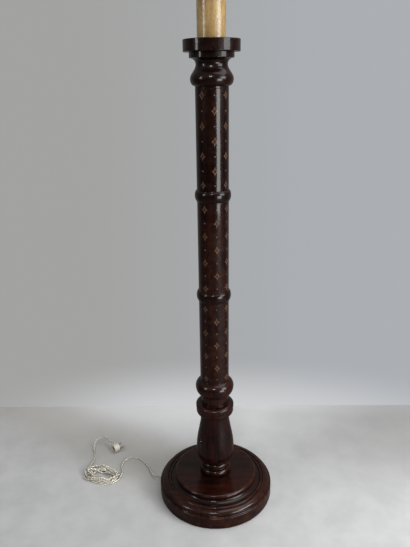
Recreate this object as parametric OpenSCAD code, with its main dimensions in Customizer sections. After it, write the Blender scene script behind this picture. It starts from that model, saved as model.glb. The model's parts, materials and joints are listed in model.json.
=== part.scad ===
// Candlestick floor lamp: a turned and varnished wooden foot and column built up
// from sections on one threaded tube, with a drip pan, a plastic candle, a metal
// lampholder and a clear lead that lies coiled on the floor beside the base.
// Millimetres. +Z is up, -Y is the front. The origin is the centre of the
// underside of the felt, on the floor.

/* [Base] */
// Diameter of the plinth, the widest turned piece
base_d = 350; // [340:5:400]
// Thickness of the felt under the plinth
felt_t = 2; // [1:0.5:4]
// Height of the plain band round the plinth
band_h = 36.5; // [30:0.5:50]
// Height of the mouldings between the band and the upper disc
mould_h = 21.5; // [19:0.5:30]
// Diameter of the upper disc
disc_d = 253; // [236:1:262]
// Thickness of the upper disc
disc_t = 16; // [14:0.5:24]
// Thickness of the cast-iron weight inside the plinth
weight_t = 16; // [14:0.5:20]
// Width of the wooden ledge between the weight's pocket and the cavity's wall
ledge_w = 22; // [21:1:50]

/* [Foot] */
// Height of the foot, from the upper disc to the knop
foot_h = 208.5; // [190:0.5:240]
// Diameter of the foot's belly
belly_d = 115.4; // [104:0.2:126]
// Diameter of the lower small bead at the foot's bottom
low_bead_d = 97; // [90:0.5:106]
// Diameter of the upper small bead at the foot's bottom
high_bead_d = 91; // [88:0.5:100]
// Diameter of the foot's neck, under the knop
neck_d = 84.6; // [80:0.2:90]

/* [Knop] */
// Height of the double-ringed knop
knop_h = 120.5; // [110:0.5:150]
// Diameter of the knop's two rings
knop_d = 113; // [104:0.5:124]
// Diameter of the plain waist between the two rings
knop_waist_d = 78; // [70:0.5:90]

/* [Column] */
// Diameter of the column
column_d = 84; // [78:0.5:88]
// Length of each of the three plain column sections
section_len = 250.5; // [200:0.5:320]
// Diameter of the thin rings between the sections
ring_d = 96; // [92:0.5:104]
// Height of a thin ring piece, its fillet included
ring_h = 31; // [26:0.5:40]
// Height of the capital
capital_h = 83.1; // [76:0.1:110]
// Diameter of the capital's bulb
bulb_d = 107.6; // [96:0.2:116]
// Diameter of the capital's hollow
hollow_d = 78.8; // [70:0.2:82]

/* [Pan and candle] */
// Diameter of the drip pan
pan_d = 140; // [120:1:170]
// Height of the drip pan's wall
pan_h = 28.2; // [22:0.2:40]
// Outer diameter of the plastic candle
candle_d = 70.2; // [60:0.2:84]
// Wall of the plastic candle
candle_wall = 2; // [1.5:0.1:3]
// Height of the candle above the pan's floor
candle_h = 152.7; // [100:0.1:250]

/* [Threaded tube] */
// Outer diameter of the threaded tube
tube_d = 10; // [9:0.1:11]
// Bore of the threaded tube
tube_bore = 7; // [6:0.1:7.5]

/* [Lampholder] */
// Inner diameter of the lamp's screw shell
socket_d = 26.8; // [26.4:0.1:27.2]
// Depth of the screw shell
socket_len = 22; // [20:0.5:30]
// Outer diameter of the threaded sleeve that carries a shade
sleeve_d = 39.6; // [38:0.1:42]
// Outer diameter of the shade ring
shade_ring_d = 57; // [50:0.5:64]
// Width of the switch key
key_w = 15; // [10:0.5:20]

/* [Lead] */
// Diameter of the clear lead
cord_d = 5; // [4.6:0.1:5.2]
// Height of the lead's hole above the floor
cord_h = 12; // [11:0.5:14]
// Direction in which the lead leaves the plinth, from +X
cord_az = 169; // [160:1:176]
// Diameter of the plug's round body
plug_d = 28; // [27:0.5:34]
// Thickness of the plug, without its pins
plug_t = 20; // [16:0.5:28]

/* [Hidden] */
$fn = 96;

// Turned joints
tenon_r = 16;
tenon_h = 12;
tenon_clear = 0.15;
tube_r = tube_d / 2;
bore_r = tube_r + 0.5;

// Levels, each from the piece below it
cord_r = cord_d / 2;
inner_cord_r = cord_r - 0.1;
z_band = felt_t + band_h;
z_plinth = z_band + mould_h;
z_disc = z_plinth + disc_t;
z_foot = z_disc + foot_h;
z_knop = z_foot + knop_h;
z_ring_low = z_knop + section_len;
z_mid = z_ring_low + ring_h;
z_ring_high = z_mid + section_len;
z_upper = z_ring_high + ring_h;
z_capital = z_upper + section_len;
z_pan = z_capital + capital_h;
dish_depth = 2.5;
z_dish = z_pan + pan_h - dish_depth;
z_candle = z_dish + candle_h;

// Radii
base_r = base_d / 2;
disc_r = disc_d / 2;
column_r = column_d / 2;
candle_r = candle_d / 2;
neck_r = neck_d / 2;

// Inside the plinth
rim_w = 25;                 // wood between the cover plate and the outside
quirk_in = 30.5;            // the small bead's centre, from the outside
plate_t = 3;
plate_r = base_r - rim_w;
cavity_r = plate_r - 10;
weight_under = cord_h + cord_r + 5.5;
z_web = weight_under + weight_t;
weight_clear = 3;
weight_r = cavity_r - ledge_w - weight_clear;
weight_screw_in = 25;       // from the weight's edge
z_ledge = cord_h + inner_cord_r + 0.1;
washer_t = 1.6;
nut_h = 8;
nut_r = 9.8;                // over the corners of a 17 mm spanner size
z_tube = z_web - washer_t - nut_h - 1.4;
elbow_r = z_tube - cord_h;
screw_r = 2;

// Lead's way out of the plinth
bush_seat = 2.2;
bush_flange_r = 7;
bush_flange_t = 3;
bush_barrel_r = cord_r + 1.7;
bush_in = 14;
bush_nose = 9;
exit_r = base_r - bush_seat + bush_flange_t + bush_nose;
lead_start = base_r - 3;    // inside the bush, where the free lead takes over
clamp_r = cavity_r - ledge_w / 2;
clamp_screw_len = 14;

// Candle and lampholder
seat_h = 14;
seat_clear = 0.2;
cap_t = 3;
z_cap = z_candle + cap_t;
neck_h = 10;
shell_wall = 1.3;
sleeve_r = sleeve_d / 2;
sleeve_wall = 1.45;
holder_cap_r = sleeve_r + 0.8;
z_spindle = z_cap + 28;
z_switch = z_cap + 21;
z_porcelain = z_cap + 33;
z_shell = z_cap + 38;
porcelain_floor = 8;
contact_h = 2.9;            // of the domed centre contact
socket_wall = 0.5;
socket_r = socket_d / 2;
z_contact = z_porcelain + porcelain_floor;
z_socket = z_contact + contact_h + 0.3;
z_mouth = z_socket + socket_len + 5;
flange_h = 3.5;
flange_r = sleeve_r + 2.2;
spindle_r = 2;
spindle_clear = 0.05;
boss_r = 4.5;
boss_end = sleeve_r + 3.4;
key_gap = 0.3;
ring_clear = 0.2;
ring_t = 6;
z_ring = z_shell + flange_h + 0.3;
z_thread = z_ring + ring_t + 0.7;

// The lead's coil on the floor: an oval of piled loops, wound in and out again
coil_pos = [-378, 52];
coil_az = -20;
coil_a = 61.5;
coil_b = 39.5;
coil_turns = 8.5;
coil_pitch = cord_d + 0.7;
coil_layer = cord_d + 0.55;
coil_rings = 24;
coil_e1 = [cos(coil_az), sin(coil_az), 0];
coil_e2 = [-sin(coil_az), cos(coil_az), 0];

// The plug, lying on its round side
plug_r = plug_d / 2;
plug_pos = [-352, 181, plug_r];
plug_az = 42;
plug_roll = 12;
gland_r = 6;
gland_start = 9;
gland_end = plug_r + 19.5;
plug_side = [-sin(plug_az) * cos(plug_roll), cos(plug_az) * cos(plug_roll), sin(plug_roll)];
pin_gap = 19;
pin_r = 2;
pin_len = 19;
pin_root = 3.6;             // clear of the gland

// Routes of the two free stretches, out of the bush to the coil and on to the plug
exit_dir = [cos(cord_az), sin(cord_az), 0];
coil_in = [coil_pos[0], coil_pos[1], cord_r] + coil_a * coil_e1;
coil_out = [coil_pos[0], coil_pos[1], cord_r + coil_layer] - coil_a * coil_e1;
run_route = concat(
    [for (r = [lead_start, exit_r - 4, exit_r + 4]) r * exit_dir + [0, 0, cord_h]],
    [[-195, 39, 11.5], [-203, 45, 10], [-211, 57, 8], [-218, 74, 5.5], [-228, 95, 3.5],
     [-243, 116, 2.5], [-261, 134, 2.5], [-283, 143, 2.5], [-303, 138, 2.5], [-315, 122, 2.5],
     [-319, 103, 2.5], [-316, 84, 2.5], [-312, 67, 2.5]],
    [for (r = [20, cord_d]) coil_in + r * coil_e2]);
tail_route = concat(
    [for (r = [cord_d, 18]) coil_out + r * coil_e2],
    [[-424, 106, 5.5], [-421, 122, 3.5], [-420, 139, 2.5], [-422, 156, 2.5], [-426, 172, 2.5],
     [-430.5, 185.5, 3], [-433, 198.5, 6], [-433, 210.5, 10.5], [-429, 220.5, 15.5],
     [-419, 228.5, 20.5], [-408, 230.5, 24], [-397.5, 227.5, 25.5]],
    [for (r = [22, 11, 0]) plug_pos + (gland_end + r) * plug_side]);

wood = [0.20, 0.08, 0.05];
brass = [0.72, 0.56, 0.28];
steel = [0.62, 0.62, 0.60];
clear_plastic = [0.85, 0.85, 0.76];

// ---------------------------------------------------------------- helpers

// Points of an elliptical arc about c, from angle a0 to a1
function arc(c, rx, rz, a0, a1, n = 12) =
    [for (i = [0:n]) let (a = a0 + (a1 - a0) * i / n) c + [rx * cos(a), rz * sin(a)]];

// Points of an arc from its crest to an edge above; full is 90 for a quarter ellipse
function bulge(crest, edge, full, n = 12) =
    let (rx = (crest[0] - edge[0]) / (1 - cos(full)), rz = (edge[1] - crest[1]) / sin(full))
    arc([crest[0] - rx, crest[1]], rx, rz, 0, full, n);

// Points of a curve that leaves p and reaches q vertically
function sweep(p, q, lift_p, lift_q, n = 16) =
    [for (i = [0:n]) let (t = i / n, s = 1 - t)
        s * s * s * p + 3 * s * s * t * (p + [0, lift_p])
        + 3 * s * t * t * (q - [0, lift_q]) + t * t * t * q];

// A turned section on the tube: its outline runs from z0 to z1, a socket is bored
// in its underside and a tenon stands on its top
module turned(outline, z0, z1, socket = true, tenon = true) {
    sock_r = tenon_r + tenon_clear;
    sock_z = z0 + tenon_h + 0.5;
    below = socket ? [[bore_r, sock_z], [sock_r, sock_z], [sock_r, z0]] : [[bore_r, z0]];
    above = tenon
        ? [[tenon_r, z1], [tenon_r, z1 + tenon_h], [bore_r, z1 + tenon_h]]
        : [[bore_r, z1]];
    rotate_extrude() polygon(concat(below, outline, above));
}

module ring(r_out, r_in, z, h) {
    translate([0, 0, z]) difference() {
        cylinder(r = r_out, h = h);
        translate([0, 0, -1]) cylinder(r = r_in, h = h + 2);
    }
}

// A countersunk wood screw from below, its head flush with z = 0
module wood_screw(len) {
    cylinder(r1 = 2 * screw_r, r2 = screw_r, h = screw_r);
    cylinder(r = screw_r, h = len);
}

// A hexagon nut that sits at z on the threaded tube
module tube_nut(z) {
    translate([0, 0, z]) difference() {
        cylinder(r = nut_r, h = nut_h, $fn = 6);
        translate([0, 0, -1]) cylinder(r = tube_r + 0.02, h = nut_h + 2);
    }
}

// One smooth curve through the points of a route
function along(p, i, t) =
    let (a = i > 0 ? p[i - 1] : 2 * p[0] - p[1], b = p[i], c = p[i + 1],
         d = i + 2 < len(p) ? p[i + 2] : 2 * p[i + 1] - p[i])
    0.5 * (2 * b + (c - a) * t + (2 * a - 5 * b + 4 * c - d) * t * t
           + (3 * b - a - 3 * c + d) * t * t * t);
function smooth(p, per) = concat(
    [for (i = [0:len(p) - 2]) for (j = [0:per - 1]) along(p, i, j / per)],
    [p[len(p) - 1]]);

function unit(v) = v / norm(v);

// A round tube along a path that nowhere runs upright
module tube(path, r, sides) {
    last = len(path) - 1;
    points = [for (i = [0:last])
        let (t = unit(path[min(i + 1, last)] - path[max(i - 1, 0)]),
             side = unit(cross(t, [0, 0, 1])), up = cross(side, t))
        for (k = [0:sides - 1]) let (a = 360 * (k + 0.5) / sides)
            path[i] + r * (cos(a) * side + sin(a) * up)];
    walls = [for (i = [0:last - 1]) for (k = [0:sides - 1])
        let (n = (k + 1) % sides, a = i * sides, b = a + sides)
        each [[a + k, a + n, b + n], [a + k, b + n, b + k]]];
    caps = [for (k = [1:sides - 2])
        each [[0, k + 1, k], [last * sides, last * sides + k, last * sides + k + 1]]];
    polyhedron(points, concat(walls, caps), convexity = 10);
}

// ---------------------------------------------------------------- base

module base_felt() {
    color([0.10, 0.14, 0.11]) cylinder(r = base_r - 6, h = felt_t);
}

// Where the screws of the cover plate stand
module at_plate_screws() {
    for (a = [45:90:315]) rotate([0, 0, a]) translate([plate_r - 5, 0, felt_t]) children();
}

module bottom_plate() {
    color([0.45, 0.33, 0.22]) difference() {
        translate([0, 0, felt_t]) cylinder(r = plate_r - 0.5, h = plate_t);
        at_plate_screws() wood_screw(plate_t + 1);
    }
}

module plate_screws() {
    color(steel) at_plate_screws() wood_screw(plate_t + 9);
}

// Outline of the plinth outside: band, step, quirk, ovolo, small bead and cove
function plinth_outline() = concat(
    [[plate_r, felt_t], [base_r - 0.8, felt_t], [base_r, felt_t + 0.8]],
    arc([base_r - 1.5, z_band - 1.5], 1.5, 1.5, 0, 90, 4),
    [[base_r - 4, z_band], [base_r - 4.4, z_band + 1.6], [base_r - 7.6, z_band + 1.9],
     [base_r - 8.4, z_band + 2.6], [base_r - 7.6, z_band + 3.6]],
    arc([base_r - 21, z_band + 4.5], 14.5, 11, 0, 90),
    [[base_r - 24.5, z_band + 15.5], [base_r - 25.2, z_band + 12.6]],
    arc([base_r - quirk_in, z_band + 11.5], 4.6, 3.6, 15, 165, 10),
    arc([base_r - 36, z_plinth], base_r - 36 - (disc_r - 4.5), mould_h - 12.6, 270, 180));

module base_plinth() {
    pocket_r = weight_r + weight_clear;
    color(wood) difference() {
        turned(concat(
            [[pocket_r, z_web], [pocket_r, z_ledge], [cavity_r, z_ledge],
             [cavity_r, felt_t + plate_t], [plate_r, felt_t + plate_t]],
            plinth_outline()),
            z_web, z_plinth, socket = false);
        rotate([0, 0, cord_az]) translate([0, 0, cord_h]) rotate([0, 90, 0]) {
            cylinder(r = bush_barrel_r, h = base_r + 1);
            translate([0, 0, base_r - bush_seat]) cylinder(r = bush_flange_r + 0.3, h = 20);
        }
        at_plate_screws() wood_screw(plate_t + 9);
        at_clamp_screws() wood_screw(clamp_screw_len);
        at_weight_screws() wood_screw(weight_t + 8);
    }
}

module at_weight_screws() {
    for (a = [30:120:270]) rotate([0, 0, a])
        translate([weight_r - weight_screw_in, 0, z_web - weight_t]) children();
}

module base_weight() {
    hole_r = 34;
    color([0.20, 0.20, 0.21]) difference() {
        rotate_extrude() polygon([
            [hole_r, z_web - weight_t], [weight_r - 2, z_web - weight_t],
            [weight_r, z_web - weight_t + 2], [weight_r, z_web], [hole_r, z_web]]);
        at_weight_screws() wood_screw(weight_t + 1);
    }
}

module weight_screws() {
    color(steel) at_weight_screws() wood_screw(weight_t + 8);
}

module base_disc() {
    edge = min(6.5, disc_t / 2);
    outline = concat(
        [[disc_r - 1.5, z_plinth], [disc_r, z_plinth + 1.5]],
        arc([disc_r - edge, z_disc - edge], edge, edge, 0, 90, 10));
    color(wood) turned(outline, z_plinth, z_disc);
}

// ---------------------------------------------------------------- foot and knop

module foot() {
    low_r = low_bead_d / 2;
    high_r = high_bead_d / 2;
    waist_r = neck_r - 1.6;
    z1 = z_disc + 21;           // top of the lower bead
    z2 = z1 + 4;                // bottom of the upper bead
    z3 = z2 + 17;               // top of the upper bead
    z_belly = z_disc + 79;
    outline = concat(
        arc([low_r - 9, z_disc + 10.5], 9, 10.5, -90, 90, 14),
        [[waist_r, z1 + 0.5], [waist_r, z2 - 0.5]],
        arc([high_r - 7, z2 + 8.5], 7, 8.5, -90, 90, 12),
        [[waist_r, z3 + 0.5], [waist_r, z3 + 4]],
        arc([waist_r, z_belly], belly_d / 2 - waist_r, z_belly - z3 - 4, -84, 0, 16),
        sweep([belly_d / 2, z_belly + 1], [neck_r, z_foot], 56, 44));
    color(wood) turned(outline, z_disc, z_foot);
}

module knop() {
    r = knop_d / 2;
    waist_r = knop_waist_d / 2;
    end_r = neck_r + 2;
    z_low = z_foot + 13.5;      // crest of the lower ring's bottom half
    z_crease = z_foot + 19;     // shallow crease round the lower ring
    z_side = z_foot + 32.5;     // upper end of the lower ring's flat side
    z_waist = z_foot + 40.5;    // lower end of the plain waist
    z_high = z_knop - 24.5;     // crest of the upper ring
    outline = concat(
        [[end_r - 0.6, z_foot]],
        arc([end_r, z_low], r - 0.7 - end_r, z_low - z_foot - 0.8, -84, 0),
        [[r - 1.3, z_crease], [r, z_crease + 5], [r, z_side]],
        arc([waist_r, z_side], r - waist_r, z_waist - z_side, 0, 88),
        arc([waist_r, z_high], r - waist_r, 26.5, -84, 0),
        bulge([r, z_high], [column_r, z_knop - 3.5], 70),
        [[column_r, z_knop]]);
    color(wood) turned(outline, z_foot, z_knop);
}

// ---------------------------------------------------------------- column

// One plain section, its ends eased by a small chamfer
module column_section(z) {
    ease = 0.4;
    top = z + section_len;
    color(wood) turned([
        [column_r - ease, z], [column_r, z + ease],
        [column_r, top - ease], [column_r - ease, top]], z, top);
}
module column_lower() { column_section(z_knop); }
module column_middle() { column_section(z_mid); }
module column_upper() { column_section(z_upper); }

// A thin ring piece: a narrow fillet below, then a shallow bead
module thin_ring(z) {
    r = ring_d / 2;
    fillet_r = column_r + 1.6;
    fillet_h = 2.2;
    bead_r = column_r + 0.4;
    bead_h = ring_h - fillet_h - 1;
    color(wood) turned(concat(
        [[fillet_r - 0.4, z], [fillet_r, z + 0.4], [fillet_r, z + fillet_h]],
        arc([bead_r, z + fillet_h + bead_h / 2], r - bead_r, bead_h / 2, -72, 86, 14),
        [[bead_r, z + ring_h - 1], [bead_r - 0.4, z + ring_h]]),
        z, z + ring_h);
}
module ring_lower() { thin_ring(z_ring_low); }
module ring_upper() { thin_ring(z_ring_high); }

// The capital: a bulb, a hollow and a square fillet under the pan
module capital() {
    bulb_r = bulb_d / 2;
    hollow_r = hollow_d / 2;
    fillet_r = 55.4;
    z_bulb = z_capital + 21;
    z_hollow = z_pan - 27.6;
    z_fillet = z_pan - 13.8;
    outline = concat(
        [[column_r, z_capital], [column_r, z_capital + 5]],
        arc([column_r, z_bulb], bulb_r - column_r, z_bulb - z_capital - 5, -80, 0),
        sweep([bulb_r, z_bulb + 1], [hollow_r, z_hollow], 12, 13),
        arc([fillet_r - 1, z_hollow], hollow_r - fillet_r + 1, z_fillet - z_hollow, 0, 90),
        [[fillet_r - 0.4, z_fillet + 0.4], [fillet_r, z_fillet + 1],
         [fillet_r, z_pan - 0.6], [fillet_r - 0.6, z_pan]]);
    color(wood) turned(outline, z_capital, z_pan);
}

// ---------------------------------------------------------------- pan and candle

module drip_pan() {
    r = pan_d / 2;
    top = z_pan + pan_h;
    dish = [[r - 1, top], [r - 5, top]];
    outline = concat(
        [[r - 1, z_pan], [r, z_pan + 1], [r, top - 1]],
        dish,
        arc([r - 5 - dish_depth, top], dish_depth, dish_depth, 0, -90, 6));
    color(wood) turned(outline, z_pan, z_dish, tenon = false);
}

module candle_seat() {
    r = candle_r - candle_wall - seat_clear;
    color([0.60, 0.45, 0.28]) rotate_extrude() polygon([
        [bore_r, z_dish], [r, z_dish], [r, z_dish + seat_h - 2],
        [r - 2, z_dish + seat_h], [bore_r, z_dish + seat_h]]);
}

module candle_tube() {
    color([0.80, 0.64, 0.42]) ring(candle_r, candle_r - candle_wall, z_dish, candle_h);
}

// Brass cap that closes the candle, with a skirt inside its wall
module candle_cap() {
    lip_r = candle_r + 1.2;
    skirt_r = candle_r - candle_wall - seat_clear;
    skirt_h = 8;
    color(brass) rotate_extrude() polygon(concat(
        [[tube_r + 0.3, z_cap], [tube_r + 0.3, z_candle], [skirt_r - 1.2, z_candle],
         [skirt_r - 1.2, z_candle - skirt_h], [skirt_r, z_candle - skirt_h],
         [skirt_r, z_candle], [lip_r - 0.6, z_candle]],
        arc([lip_r - cap_t / 2, z_candle + cap_t / 2], cap_t / 2, cap_t / 2, -60, 90, 8)));
}

// ---------------------------------------------------------------- threaded tube

module threaded_tube() {
    color(steel) ring(tube_r, tube_bore / 2, z_tube, z_cap + neck_h - z_tube);
}

module tube_washer(z) {
    color(steel) ring(13, tube_r + 0.3, z, washer_t);
}
module bottom_washer() { tube_washer(z_web - washer_t); }
module bottom_nut() { color(steel) tube_nut(z_web - washer_t - nut_h); }
module top_washer() { tube_washer(z_dish + seat_h); }
module top_nut() { color(steel) tube_nut(z_dish + seat_h + washer_t); }

// ---------------------------------------------------------------- lampholder

// Bell-shaped cap that screws on the tube, with a boss for the switch spindle
module holder_cap() {
    r = holder_cap_r;
    dome_h = 13;
    z_dome = z_cap + neck_h;
    outer = concat(
        [[7.9, z_cap], [8.5, z_cap + 0.6]],
        arc([8.5, z_dome + dome_h], r - 8.5, dome_h, -90, 0));
    inner = concat(
        arc([8, z_dome + dome_h + shell_wall], r - shell_wall - 8, dome_h, 0, -90),
        [[tube_r + 0.02, z_dome + shell_wall]]);
    color(brass) difference() {
        union() {
            rotate_extrude() polygon(concat(
                [[tube_r + 0.02, z_cap]], outer,
                [[r, z_shell], [r - shell_wall, z_shell]], inner));
            translate([r - shell_wall / 2, 0, z_spindle]) rotate([0, 90, 0])
                cylinder(r = boss_r, h = boss_end - r + shell_wall / 2);
        }
        translate([r - 5, 0, z_spindle]) rotate([0, 90, 0])
            cylinder(r = spindle_r + spindle_clear, h = 20);
    }
}

// Sleeve with a flange that carries a shade, a plain neck where the ring lies, and
// a stretch for the thread above it
module holder_sleeve() {
    lip_r = 16.2;
    inner_r = sleeve_r - sleeve_wall;
    neck_r = sleeve_r - 0.6;
    color(brass) rotate_extrude() polygon([
        [inner_r, z_shell], [flange_r - 0.6, z_shell], [flange_r, z_shell + 0.6],
        [flange_r, z_shell + flange_h - 0.6], [flange_r - 0.6, z_shell + flange_h],
        [neck_r, z_shell + flange_h], [neck_r, z_thread - 0.6], [sleeve_r, z_thread],
        [sleeve_r, z_mouth], [sleeve_r - 0.8, z_mouth + 0.8],
        [lip_r, z_mouth + 0.8], [lip_r, z_mouth - 0.2], [inner_r, z_mouth - 0.2]]);
}

module porcelain_body() {
    r = sleeve_r - sleeve_wall - 0.1;
    well_r = socket_r + socket_wall + 0.1;
    contact_well_r = socket_r - 2;
    z_shelf = z_socket - 0.2;
    color([0.92, 0.90, 0.85]) difference() {
        rotate_extrude() polygon([
            [0, z_porcelain], [r - 1, z_porcelain], [r, z_porcelain + 1], [r, z_mouth - 0.4],
            [well_r, z_mouth - 0.4], [well_r, z_shelf], [contact_well_r, z_shelf],
            [contact_well_r, z_contact], [0, z_contact]]);
        at_terminals() translate([0, 0, -1]) cylinder(r = 1.6, h = 6);
    }
}

module screw_shell() {
    color(brass) rotate_extrude() polygon([
        [socket_r - 2, z_socket - 0.2], [socket_r + socket_wall, z_socket - 0.2],
        [socket_r + socket_wall, z_socket + socket_len], [socket_r, z_socket + socket_len],
        [socket_r, z_socket + 0.3], [socket_r - 2, z_socket + 0.3]]);
}

// Springy tongue that the lamp's tip presses on
module centre_contact() {
    color(brass) translate([0, 0, z_contact]) {
        translate([-8, -3, 0]) cube([11, 6, 0.6]);
        rotate_extrude() polygon(concat(
            [[0, 0], [3, 0]], arc([0, 1], 3, contact_h - 1, 0, 90, 8)));
    }
}

module at_terminals() {
    for (s = [-1, 1]) translate([0, 12.5 * s, z_porcelain]) children();
}

module terminal_screws() {
    color(brass) at_terminals() {
        translate([0, 0, -2.2]) cylinder(r = 2.8, h = 2.2);
        cylinder(r = 1.5, h = 5);
    }
}

module switch_block() {
    color([0.10, 0.09, 0.09]) difference() {
        translate([-9, -7, z_switch]) cube([18, 14, z_porcelain - z_switch]);
        translate([2, 0, z_spindle]) rotate([0, 90, 0])
            cylinder(r = spindle_r + spindle_clear, h = 10);
    }
}

module switch_spindle() {
    color(brass) translate([3, 0, z_spindle]) rotate([0, 90, 0])
        cylinder(r = spindle_r, h = boss_end + key_gap + 1 - 3);
}

// Flat key with round ends, turned by thumb and finger
module switch_key() {
    t = 3;
    w = key_w;
    root = boss_end + key_gap;
    color([0.12, 0.08, 0.06]) difference() {
        union() {
            translate([root, 0, z_spindle]) rotate([0, 90, 0]) cylinder(r = 3.2, h = 5);
            translate([root + 4, 0, z_spindle]) rotate([0, 90, 0]) linear_extrude(9) {
                square([w - t, t], center = true);
                for (s = [-1, 1]) translate([s * (w - t) / 2, 0]) circle(r = t / 2);
            }
        }
        translate([root - 1, 0, z_spindle]) rotate([0, 90, 0])
            cylinder(r = spindle_r, h = 2);
    }
}

// Ring nut that clamps a shade's carrier down on the sleeve's flange
module shade_ring() {
    z = z_ring;
    r_in = sleeve_r + ring_clear;
    r = shade_ring_d / 2;
    grips = 24;
    color([0.14, 0.10, 0.08]) difference() {
        rotate_extrude() polygon([
            [r_in, z], [r - 1, z], [r, z + 1], [r, z + 3], [r - 2, z + 4],
            [r_in + 3, z + 4], [r_in + 2.4, z + ring_t], [r_in, z + ring_t]]);
        for (i = [0:grips - 1]) rotate([0, 0, 360 * i / grips])
            translate([r + 0.6, 0, z - 1]) cylinder(r = 1.4, h = ring_t, $fn = 24);
    }
}

// ---------------------------------------------------------------- lead inside

// Bush in the plinth's wall: barrel, flange and tapered nose
module cord_bush() {
    flange_x = base_r - bush_seat;
    color(clear_plastic) rotate([0, 0, cord_az]) translate([0, 0, cord_h]) rotate([0, 90, 0])
        rotate_extrude() polygon([
            [cord_r, flange_x - bush_in], [bush_barrel_r, flange_x - bush_in],
            [bush_barrel_r, flange_x], [bush_flange_r, flange_x],
            [bush_flange_r, flange_x + bush_flange_t - 0.8],
            [bush_flange_r - 0.8, flange_x + bush_flange_t],
            [cord_r + 2.2, flange_x + bush_flange_t], [cord_r + 0.9, exit_r],
            [cord_r, exit_r]]);
}

module at_clamp() {
    rotate([0, 0, cord_az]) translate([clamp_r, 0, cord_h]) children();
}

module at_clamp_screws() {
    for (s = [-1, 1]) at_clamp() translate([0, s * 8, -cord_r - 1.2]) children();
}

// Saddle that holds the lead up against the wood inside the plinth
module cord_clamp() {
    w = 8;
    len = 24;
    bottom = -cord_r - 1.2;
    color([0.15, 0.15, 0.15]) difference() {
        at_clamp() translate([-w / 2, -len / 2, bottom])
            cube([w, len, z_ledge - cord_h - bottom]);
        at_clamp() rotate([0, 90, 0]) cylinder(r = cord_r, h = 2 * w, center = true);
        at_clamp() translate([-w, -cord_r, 0]) cube([2 * w, cord_d, w]);
        at_clamp_screws() wood_screw(clamp_screw_len);
    }
}

module clamp_screws() {
    color(steel) at_clamp_screws() wood_screw(clamp_screw_len);
}

// The lead inside the lamp: in through the bush, round the elbow and up the tube
module inner_cord() {
    color(clear_plastic) {
        rotate([0, 0, cord_az]) {
            translate([elbow_r, 0, cord_h]) rotate([0, 90, 0])
                cylinder(r = inner_cord_r, h = lead_start - elbow_r);
            translate([elbow_r, 0, z_tube]) rotate([90, 0, 0]) rotate([0, 0, 180])
                rotate_extrude(angle = 90) translate([elbow_r, 0]) circle(r = inner_cord_r);
        }
        translate([0, 0, z_tube]) cylinder(r = inner_cord_r, h = z_switch - z_tube);
    }
}

// ---------------------------------------------------------------- lead outside

module cord_run() {
    color(clear_plastic) tube(smooth(run_route, 2), cord_r, 8);
}

module cord_tail() {
    color(clear_plastic) tube(smooth(tail_route, 2), cord_r, 8);
}

// A point of the coil after u turns: clockwise round an oval whose loops spiral in,
// climb a layer where the spiral turns back, and spiral out again
function coil_point(u) =
    let (t = u - floor(u), half = coil_turns / 2,
         inset = coil_pitch * (half - abs(u - half)),
         core = coil_a - coil_b,
         turn = lookup(t, [[0, 0], [1/6, 90], [1/3, 90], [2/3, 270], [5/6, 270], [1, 360]]),
         x = lookup(t, [[0, core], [1/6, core], [1/3, -core], [2/3, -core],
                        [5/6, core], [1, core]]),
         z = cord_r + lookup(u, [[half - 0.25, 0], [half + 0.25, coil_layer]]),
         local = [x + (coil_b - inset) * cos(turn), -(coil_b - inset) * sin(turn)])
    [coil_pos[0], coil_pos[1], z] + local[0] * coil_e1 + local[1] * coil_e2;

coil_path = concat(
    [coil_in + cord_d * coil_e2],
    [for (i = [0:coil_turns * coil_rings]) coil_point(i / coil_rings)],
    [coil_out + cord_d * coil_e2]);

module cord_coil() {
    color(clear_plastic) tube(coil_path, cord_r, 6);
}

// Least gap of the coil to itself, between each ring and the later stretches
function seg_dist(p, a, b) =
    let (ab = b - a, t = max(0, min(1, (p - a) * ab / (ab * ab)))) norm(p - a - t * ab);
coil_gap = min([for (i = [0:len(coil_path) - 1]) for (j = [i + 6:len(coil_path) - 2])
    if (j < len(coil_path) - 1) seg_dist(coil_path[i], coil_path[j], coil_path[j + 1])])
    - cord_d;
function path_len(p) = [for (i = 0, s = 0; i < len(p); i = i + 1,
    s = s + (i < len(p) ? norm(p[i] - p[i - 1]) : 0)) s][len(p) - 1];
echo(coil_gap = coil_gap);
echo(run = path_len(smooth(run_route, 8)), coil = path_len(coil_path),
     tail = path_len(smooth(tail_route, 8)));

// ---------------------------------------------------------------- plug

module at_plug() {
    translate(plug_pos) rotate([0, 0, plug_az]) rotate([plug_roll, 0, 0]) children();
}

// Half of the plug that holds the pins
module plug_body() {
    face = plug_t / 2;
    color([0.93, 0.92, 0.88]) at_plug() difference() {
        rotate([0, 90, 0]) rotate_extrude() polygon(concat(
            [[0, 2]], [[plug_r, 2], [plug_r, face - 1.2], [plug_r - 1.2, face], [0, face]]));
        for (s = [-1, 1]) translate([face - pin_root, s * pin_gap / 2, 0]) rotate([0, 90, 0])
            cylinder(r = pin_r, h = 10);
        gland_hole();
    }
}

// Round way through the side of the plug's shell
module gland_hole() {
    rotate([-90, 0, 0]) translate([0, 0, gland_start]) cylinder(r = gland_r, h = plug_r);
}

// Rear half: a round shell with a raised rim, open in its middle
module plug_cover() {
    back = -plug_t / 2;
    color([0.95, 0.94, 0.90]) at_plug() difference() {
        rotate([0, 90, 0]) rotate_extrude() polygon(concat(
            [[gland_start, 2], [plug_r, 2]],
            arc([plug_r - 2.5, back + 2.5], 2.5, 2.5, 0, -90, 8),
            [[gland_start + 1, back], [gland_start, back + 1]]));
        gland_hole();
    }
}

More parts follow.
